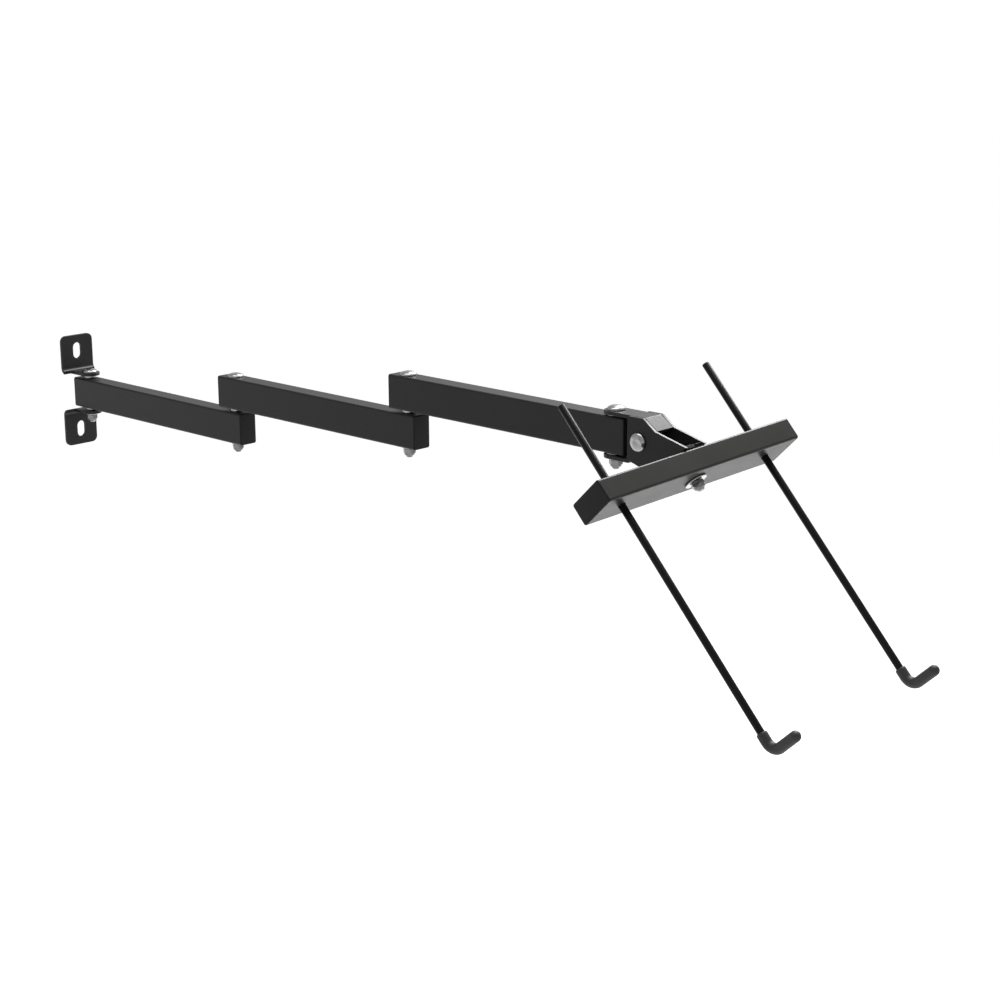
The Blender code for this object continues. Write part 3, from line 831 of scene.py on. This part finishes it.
# ---- sub-assemblies
@dataclass
class StackedArms:
    """Three rectangular arms stacked on each other, with their elbow bolts."""

    axes: Axes
    overhang: float = 21 * MM
    stock: TubeStock = field(default_factory=lambda: TubeStock(depth=25 * MM, height=ARM_HEIGHT))

    def build(self) -> None:
        """Build every arm, then the bolts that join them."""
        level = self.axes.swivel.z / 2
        pivots = [self.axes.wall, *self.axes.elbows, self.axes.swivel]
        for index, (first, last) in enumerate(zip(pivots, pivots[1:])):
            self.arm(index + 1, first.x, last.x, index * level)
        for index, pivot in enumerate(self.axes.elbows):
            seam = index * level + ARM_HEIGHT / 2
            BoltSet(f"elbow_{index + 1}", shift(pivot.x), seam + level, level + ARM_HEIGHT).build()
            washer(f"elbow_{index + 1}_spacer", SPACER_RADIUS, BOLT_HOLE, SPACER_HEIGHT,
                   shift(pivot.x, 0, seam + CLEAR))

    def arm(self, number: int, first: float, last: float, level: float) -> None:
        """One arm: drilled tube and two caps.

        Args:
            number: 1 for the arm on the wall.
            first: X of its inner pivot.
            last: X of its outer pivot.
            level: Height of its middle.
        """
        along = turn(90, "Y") @ turn(90, "Z")
        name = f"arm_{number}"
        length = last - first + 2 * (self.overhang - self.stock.flange - HAIR)
        tube = self.stock.tube(f"{name}_tube", length, shift((first + last) / 2, 0, level) @ along)
        for pivot in (first, last):
            tube.drill(BOLT_HOLE, 2 * ARM_HEIGHT, shift(pivot, 0, level))
        tube.piece(COAT, angle=40, soften=0.25 * MM, rounds=2)
        self.stock.cap(f"{name}_cap_inner", shift(first - self.overhang, 0, level) @ along)
        self.stock.cap(f"{name}_cap_outer", shift(last + self.overhang, 0, level) @ turn(180, "Z") @ along)


@dataclass
class WallEnd:
    """Two slotted brackets on the wall, and the first pivot between them."""

    axes: Axes
    plate: float = 4 * MM
    tab_width: float = 50 * MM
    tab_height: float = 52 * MM
    tab_corner: float = 8 * MM
    bend: float = 5 * MM
    ear_width: float = 26 * MM
    slot_width: float = 13 * MM
    slot_height: float = 22 * MM
    slot_centre: float = 30.5 * MM
    relief: float = 2.5 * MM

    @property
    def inner(self) -> float:
        """Height of an ear's inner face above the arm's middle."""
        return ARM_HEIGHT / 2 + SPACER_HEIGHT + 2 * CLEAR

    def bracket(self, name: str, matrix: Matrix) -> None:
        """An L bracket: slotted tab flat on the wall, ear standing out under it.

        Args:
            name: Name of the CAD node that it stands for.
            matrix: Its place.
        """
        pivot, inner = self.axes.wall.x, self.inner
        outer, top = inner + self.plate, inner + self.tab_height
        heart = (self.plate + self.bend, outer + self.bend)
        reach, spare = pivot + self.ear_width / 2, 10 * MM
        profile = ([(0, top), (0, heart[1])] + arc(heart, self.bend + self.plate, 180, 270, 8)
                   + [(reach, inner), (reach, outer), (heart[0], outer)]
                   + arc(heart, self.bend, 270, 180, 8) + [(self.plate, top)])
        facing = SIDEWAYS @ ACROSS
        body = Blank.plate(name, profile, self.tab_width + 2 * spare, UPRIGHT)
        front = rounded_rectangle(self.tab_width, 2 * self.tab_height, self.tab_corner)
        body.trim(Blank.plate("front", front, 4 * reach, shift(0, 0, inner) @ facing))
        half, tab, lip = self.ear_width / 2, self.tab_width / 2 + spare / 2, self.plate + self.bend
        relief = self.relief
        plan = ([(-spare, -tab), (lip - relief, -tab), (lip - relief, -half - relief)]
                + arc((lip, -half - relief), relief, 180, 90, 3)
                + arc((pivot, 0), half, -90, 90, 32)
                + arc((lip, half + relief), relief, 270, 180, 3)
                + [(lip - relief, half + relief), (lip - relief, tab), (-spare, tab)])
        body.trim(Blank.plate("plan", plan, 4 * top, Matrix()))
        body.cut(Blank.plate("slot", slot_outline(self.slot_width, self.slot_height), 4 * self.plate,
                             shift(0, 0, inner + self.slot_centre) @ facing))
        body.drill(BOLT_HOLE, 4 * self.plate, shift(pivot, 0, inner))
        body.mesh.transform(matrix)
        body.piece(COAT, angle=40, soften=0.35 * MM)

    def build(self) -> None:
        """Build both brackets, the pivot bolt and its two spacers."""
        self.bracket("wall_bracket_upper", Matrix())
        self.bracket("wall_bracket_lower", turn(180, "X"))
        ear = self.inner + self.plate
        BoltSet("wall_pivot", shift(self.axes.wall.x), ear, 2 * ear).build()
        rest = ARM_HEIGHT / 2 + CLEAR
        for side, height in (("upper", rest), ("lower", -rest - SPACER_HEIGHT)):
            washer(f"wall_pivot_spacer_{side}", SPACER_RADIUS, BOLT_HOLE, SPACER_HEIGHT,
                   shift(self.axes.wall.x, 0, height))


@dataclass
class SwivelYoke:
    """The bent yoke round the third arm's end, with its visor and tilt cheeks."""

    axes: Axes
    plate: float = 4 * MM
    width: float = 26 * MM
    web: float = 26 * MM
    cheek: float = 4 * MM
    cheek_radius: float = 11 * MM
    visor_flat: float = 6 * MM
    visor_reach: float = 22 * MM
    visor_tip: float = 14 * MM
    shim: float = 1.0 * MM
    inner_bend: float = 1.2 * MM
    outer_bend: float = 2.88 * MM

    @property
    def inner(self) -> float:
        """Height of the yoke's inner faces above the arm's middle."""
        return ARM_HEIGHT / 2 + self.shim + 2 * CLEAR

    @property
    def outer(self) -> float:
        """Height of the yoke's outer faces above the arm's middle."""
        return self.inner + self.plate

    def build(self) -> None:
        """Build the yoke and the swivel bolt."""
        half, tilt = self.width / 2, self.axes.tilt.x - self.axes.swivel.x
        inner, outer, web, plate = self.inner, self.outer, self.web, self.plate
        slope = math.atan2(outer - self.visor_tip, self.visor_reach - self.visor_flat)
        inset = plate * math.tan(slope / 2)
        tip = (tilt + self.visor_reach, self.visor_tip)
        under = (tip[0] - plate * math.sin(slope), tip[1] - plate * math.cos(slope))
        bend, sweep = self.inner_bend, self.outer_bend
        profile = ([(-half, outer), (-half, inner)] + arc((web - bend, inner - bend), bend, 90, 0, 5)
                   + arc((web - bend, -inner + bend), bend, 0, -90, 5)
                   + [(-half, -inner), (-half, -outer)]
                   + arc((web + plate - sweep, -outer + sweep), sweep, -90, 0, 8)
                   + [(web + plate, inner), (tilt + self.visor_flat - inset, inner), under, tip,
                      (tilt + self.visor_flat, outer)])
        here = Matrix.Translation(self.axes.swivel)
        spare = 5 * MM
        body = Blank.plate("swivel_yoke", profile, self.width + 2 * spare, here @ UPRIGHT)
        far = tilt + self.visor_reach + spare
        plan = arc((0, 0), half, 90, 270, 32) + [(far, -half), (far, half)]
        body.trim(Blank.plate("plan", plan, 4 * outer, here))
        cheek = ([(web + plate / 2, self.cheek_radius), (web + plate / 2, -self.cheek_radius)]
                 + arc((tilt, 0), self.cheek_radius, -90, 90, 24))
        for side in (-1, 1):
            middle = side * (half - self.cheek / 2)
            body.join(Blank.plate("cheek", cheek, self.cheek, here @ shift(0, middle) @ UPRIGHT))
        body.drill(BOLT_HOLE, 4 * outer, here)
        body.drill(BOLT_HOLE, 2 * self.width, here @ shift(tilt) @ UPRIGHT)
        body.piece(COAT, angle=30, soften=0.5 * MM)
        BoltSet("swivel", here, outer, 2 * outer).build()


@dataclass
class TiltHead:
    """Two side plates on the tilt bolt and the end plate that carries the cross bar."""

    axes: Axes
    yoke: SwivelYoke
    plate: float = 3.5 * MM
    back: float = 13.2 * MM
    play: float = 0.4 * MM
    along: float = 54 * MM
    across: float = 23.9 * MM
    bar_depth: float = 25 * MM
    bar_height: float = 50 * MM
    friction_washer: float = 1.0 * MM
    end_drop: float = 2.6 * MM      # how far the end plate stops short of the side plates' corner

    @property
    def face(self) -> float:
        """Distance from the bar's middle to the end plate's face."""
        return self.bar_depth / 2 + self.friction_washer + 2 * CLEAR

    def corner(self, along: float, across: float) -> Point:
        """X and Z from the tilt axis of a point given along and square to the rods."""
        spot = self.axes.rods_turn @ Vector((along, 0, across))
        return (spot.x, spot.z)

    def build(self) -> None:
        """Build the bracket and the tilt bolt."""
        yoke, here = self.yoke, Matrix.Translation(self.axes.tilt)
        face = self.along - self.face
        outline = [(-self.back, yoke.outer), (yoke.visor_flat, yoke.outer),
                   (yoke.visor_reach, yoke.visor_tip),
                   self.corner(face, self.across + self.bar_height / 2),
                   self.corner(face, self.across - self.bar_height / 2),
                   (0, -yoke.outer), (-self.back, -yoke.outer + yoke.plate)]
        inner = yoke.width / 2 + self.play
        middle = inner + self.plate / 2
        body = Blank.plate("tilt_bracket", outline, self.plate, here @ shift(0, -middle) @ UPRIGHT)
        head = here @ self.axes.rods_turn
        half = self.plate / 2
        cross = [(-half, -middle), (half, -middle), (half, middle), (-half, middle)]
        body.join(Blank.plate("end", cross, self.bar_height - self.end_drop,
                              head @ shift(face - self.plate / 2, 0, self.across - self.end_drop / 2)))
        body.join(Blank.plate("far", outline, self.plate, here @ shift(0, middle) @ UPRIGHT))
        body.drill(BOLT_HOLE, 4 * middle, here @ UPRIGHT)
        body.drill(BOLT_HOLE, 4 * self.plate, head @ shift(face, 0, self.across) @ SIDEWAYS)
        body.piece(COAT, angle=30, soften=0.34 * MM)
        outer = inner + self.plate
        BoltSet("tilt", here @ UPRIGHT, outer, 2 * outer).build()


@dataclass
class CrossBar:
    """The bar across the head, its centre bolt and caps, drilled for its grub screws."""

    axes: Axes
    head: TiltHead
    length: float = 280 * MM
    rod_spacing: float = 212 * MM
    rod_radius: float = 4 * MM
    screw_radius: float = 3 * MM
    fender_radius: float = 12.5 * MM
    friction_radius: float = 12 * MM

    def build(self) -> None:
        """Build the bar and what is bolted to it."""
        stock = TubeStock(depth=self.head.bar_depth, height=self.head.bar_height)
        bar, along = self.axes.bar, turn(-90, "X")
        tube = stock.tube("cross_bar_tube", self.length - 2 * (stock.flange + HAIR), bar @ along)
        tube.drill(BOLT_HOLE, 2 * stock.height, bar @ SIDEWAYS)
        for side in (-1, 1):
            at_rod = bar @ shift(0, side * self.rod_spacing / 2)
            tube.drill(self.rod_radius + CLEAR, 2 * stock.height, at_rod @ SIDEWAYS)
            tube.drill(self.screw_radius + CLEAR, stock.height / 2, at_rod @ shift(0, 0, -stock.height / 2))
        # the bar's coat is paler than the arms' by painted light, and warmer by its own tint
        tube.piece(BAR_COAT_TINT_AND_PAINTED_LIGHT, angle=40, soften=0.3 * MM, rounds=2)
        for side, way in (("left", along), ("right", turn(180, "X") @ along)):
            stock.cap(f"cross_bar_cap_{side}", bar @ way @ shift(z=-self.length / 2))
        axis = bar @ turn(-90, "Y")
        reach = self.head.face + self.head.plate
        BoltSet("roll", axis, reach, reach + stock.depth / 2, washer_radius=self.fender_radius).build()
        washer("roll_friction_washer", self.friction_radius, BOLT_HOLE, self.head.friction_washer,
               axis @ shift(z=stock.depth / 2 + CLEAR), NaturalNylon())


@dataclass
class Hook:
    """One round bar bent up into a hook, with its dipped end."""

    axes: Axes
    name: str
    side: int
    spacing: float = 212 * MM
    radius: float = 4 * MM
    behind: float = 108 * MM
    ahead: float = 296 * MM
    bend: float = 12 * MM
    rise: float = 40 * MM
    coat: float = 1.5 * MM
    coat_start: float = 22 * MM
    coat_end: float = 3 * MM
    chamfer: float = 0.6 * MM
    sides: int = 40

    @property
    def coat_radius(self) -> float:
        """Outer radius of the dipped coating."""
        return self.radius + CLEAR + self.coat

    def path(self, start: float, tip: float, turns: int = 20) -> list[tuple[Vector, float]]:
        """Centre line from the rod, round the bend and up to the tip.

        Args:
            start: Where it begins along the rod.
            tip: Height where it ends.
            turns: Steps round the bend.

        Returns:
            Each point and the angle of the line there, in radians above local X.
        """
        heart = self.ahead - self.bend
        points = [(Vector((start, 0, 0)), 0.0)]
        for step in range(turns + 1):
            a = math.pi / 2 * step / turns
            points.append((Vector((heart + self.bend * math.sin(a), 0, self.bend * (1 - math.cos(a)))), a))
        points.append((Vector((self.ahead, 0, tip)), math.pi / 2))
        return points

    def ring(self, spot: Vector, angle: float, radius: float) -> list[Vector]:
        """A ring of points square to the centre line."""
        upward = Vector((-math.sin(angle), 0, math.cos(angle)))
        return [spot + radius * (math.cos(a) * upward + math.sin(a) * Vector((0, 1, 0)))
                for a in (2 * math.pi * side / self.sides for side in range(self.sides))]

    def build(self) -> None:
        """Build the rod and its coating."""
        place = self.axes.bar @ shift(0, self.side * self.spacing / 2)
        chamfer, start, tip = self.chamfer, -self.behind, self.rise
        rod = [self.ring(Vector((start, 0, 0)), 0.0, self.radius - chamfer),
               self.ring(Vector((start + 0.25 * chamfer, 0, 0)), 0.0, self.radius - 0.35 * chamfer)]
        rod += [self.ring(spot, angle, self.radius)
                for spot, angle in self.path(start + chamfer, tip - chamfer)]
        rod.append(self.ring(Vector((self.ahead, 0, tip)), math.pi / 2, self.radius - chamfer))
        Blank.lofted(f"hook_rod_{self.name}", rod, place).piece(GlossEnamel(), angle=60)
        mouth = self.ahead - self.coat_start
        outer, inner = self.coat_radius - HAIR, self.radius + HAIR
        # how far from the mouth each ring of the rolled lip lies, in millimetres, and its radius
        lip = [(0.0, inner + 0.45 * self.coat), (0.15, inner + 0.72 * self.coat),
               (0.6, inner + 0.90 * self.coat), (1.4, outer - 0.12 * MM), (2.6, outer)]
        coat = [self.ring(Vector((mouth + reach * MM, 0, 0)), 0.0, radius) for reach, radius in lip]
        base = self.rise + self.coat_end - outer
        coat += [self.ring(spot, angle, outer) for spot, angle in self.path(mouth + 4 * MM, base)]
        coat += [self.ring(Vector((self.ahead, 0, base + outer * math.sin(a))), math.pi / 2,
                           outer * math.cos(a))
                 for a in (math.radians(step) for step in (10, 20, 30, 40, 50, 60, 70, 80, 88))]
        bore = [self.ring(spot, angle, inner) for spot, angle in self.path(mouth, self.rise + HAIR)]
        bore.append(self.ring(Vector((self.ahead, 0, self.rise + HAIR)), math.pi / 2, 0.3 * MM))
        sleeve = Blank.lofted(f"hook_sleeve_{self.name}", [*reversed(bore), *coat], place)
        sleeve.piece(DippedVinyl(), angle=60)


# ---- studio
@dataclass
class Studio:
    """Pale floor, soft light and the camera."""

    eye: Triple = (2.35227, -1.60532, 0.56904)
    azimuth: float = 43.92
    elevation: float = 14.67
    roll: float = -0.27
    lens: float = 74.247
    floor_drop: float = 1.2
    floor_radius: float = 44.0
    floor_rise: float = 3.4
    floor_glow: float = 0.54
    backward: Triple = (-0.69, 0.72, 0.0)
    world_light: float = 0.52

    def camera(self) -> None:
        """Set up the camera."""
        data = bpy.data.cameras.new("camera")
        item = put("camera", data)
        az, el = math.radians(self.azimuth), math.radians(self.elevation)
        back = Vector((math.sin(az) * math.cos(el), -math.cos(az) * math.cos(el), math.sin(el)))
        facing = (-back).to_track_quat("-Z", "Y").to_matrix().to_4x4()
        item.matrix_world = Matrix.Translation(self.eye) @ facing @ turn(self.roll, "Z")
        data.sensor_width = 36.0
        data.lens = self.lens
        data.clip_start, data.clip_end = 0.01, 500.0
        bpy.context.scene.camera = item

    def floor(self) -> None:
        """Lay the pale floor below the hanging rack, with its far edge swept up like paper."""
        edge, rise, thick = self.floor_radius, self.floor_rise, 0.1
        heart, rim = 0.01, 1.005 * edge
        sweep = [(edge * out, rise * up) for out, up in ((0.7, 0.0), (0.8, 0.03), (0.88, 0.14), (0.94, 0.34),
                                                         (0.98, 0.64), (1.0, 1.0))]
        profile = [(heart, 0.0), *sweep, (rim, rise), (rim, -thick), (heart, -thick)]
        blank = Blank.revolved("floor", profile, shift(0, 0, CAD_BOX[0][2] - self.floor_drop))
        item = put("floor", blank.mesh)
        sheet = NodeSheet("pale_floor")
        cloud = sheet.noise(0.4, 2.0)
        depth = sheet.node("ShaderNodeVectorMath", {"operation": "DOT_PRODUCT"},
                           {0: sheet.place(), 1: self.backward}, "Value")
        ahead, behind = (sheet.node("ShaderNodeMapRange", {"interpolation_type": "SMOOTHSTEP"},
                                    {"Value": depth, "From Min": start, "From Max": full}, "Result")
                         for start, full in ((0.05, 0.78), (-1.6, -5.0)))
        sheet.set(Base_Color=sheet.blend(cloud, (0.88, 0.88, 0.88), (0.91, 0.91, 0.91)),
                  Roughness=0.75 + cloud * 0.1,
                  Emission_Color=sheet.blend(ahead + behind, (0.0, 0.0, 0.0), (1.0, 1.0, 1.0)),
                  Emission_Strength=self.floor_glow)
        item.data.materials.append(sheet.material)

    def softboxes(self) -> None:
        """Hang the soft boxes, each with its place, the point it faces, its size and its watts."""
        for name, spot, aim, size, power in (
                ("key_softbox", (0.42, 1.85, 1.95), (0.75, 0.0, 0.05), (1.4, 1.7), 122.0),
                ("fill_softbox", (-0.9, -3.2, 0.9), (0.6, 0.0, 0.0), (2.2, 2.2), 2.0),
                ("back_softbox", (-2.6, 3.2, 1.9), (0.4, 0.0, 0.05), (3.2, 1.8), 4.0),
                ("top_softbox", (0.75, -0.35, 2.4), (0.5, 0.0, 0.0), (2.2, 0.9), 25.0)):
            data = bpy.data.lights.new(name, "AREA")
            data.shape = "RECTANGLE"
            data.size, data.size_y = size
            data.energy = power
            facing = (Vector(aim) - Vector(spot)).to_track_quat("-Z", "Y").to_matrix().to_4x4()
            put(name, data).matrix_world = Matrix.Translation(spot) @ facing

    def build(self) -> None:
        """Set up the whole studio."""
        self.camera()
        self.floor()
        self.softboxes()
        world = bpy.data.worlds.new("studio_white")
        world.use_nodes = True
        ground = world.node_tree.nodes["Background"]
        ground.inputs["Color"].default_value = (1.0, 1.0, 1.0, 1.0)
        ground.inputs["Strength"].default_value = self.world_light
        bpy.context.scene.world = world
        bpy.context.scene.view_settings.view_transform = "Standard"


def main() -> None:
    """Build the rack and the studio round it."""
    logging.basicConfig(level=logging.INFO, format="%(name)s: %(message)s")
    axes = Axes.from_joints()
    Studio().build()
    WallEnd(axes).build()
    StackedArms(axes).build()
    yoke = SwivelYoke(axes)
    yoke.build()
    head = TiltHead(axes, yoke)
    head.build()
    CrossBar(axes, head).build()
    for name, side in (("left", -1), ("right", 1)):
        Hook(axes, name, side).build()
    for part, finish in (("_bush", BRIGHT_ZINC), ("swivel_shim", NaturalNylon()),
                         ("set_screw", BlackOxide())):
        carry_over(part, finish)


if __name__ == "__main__":
    main()
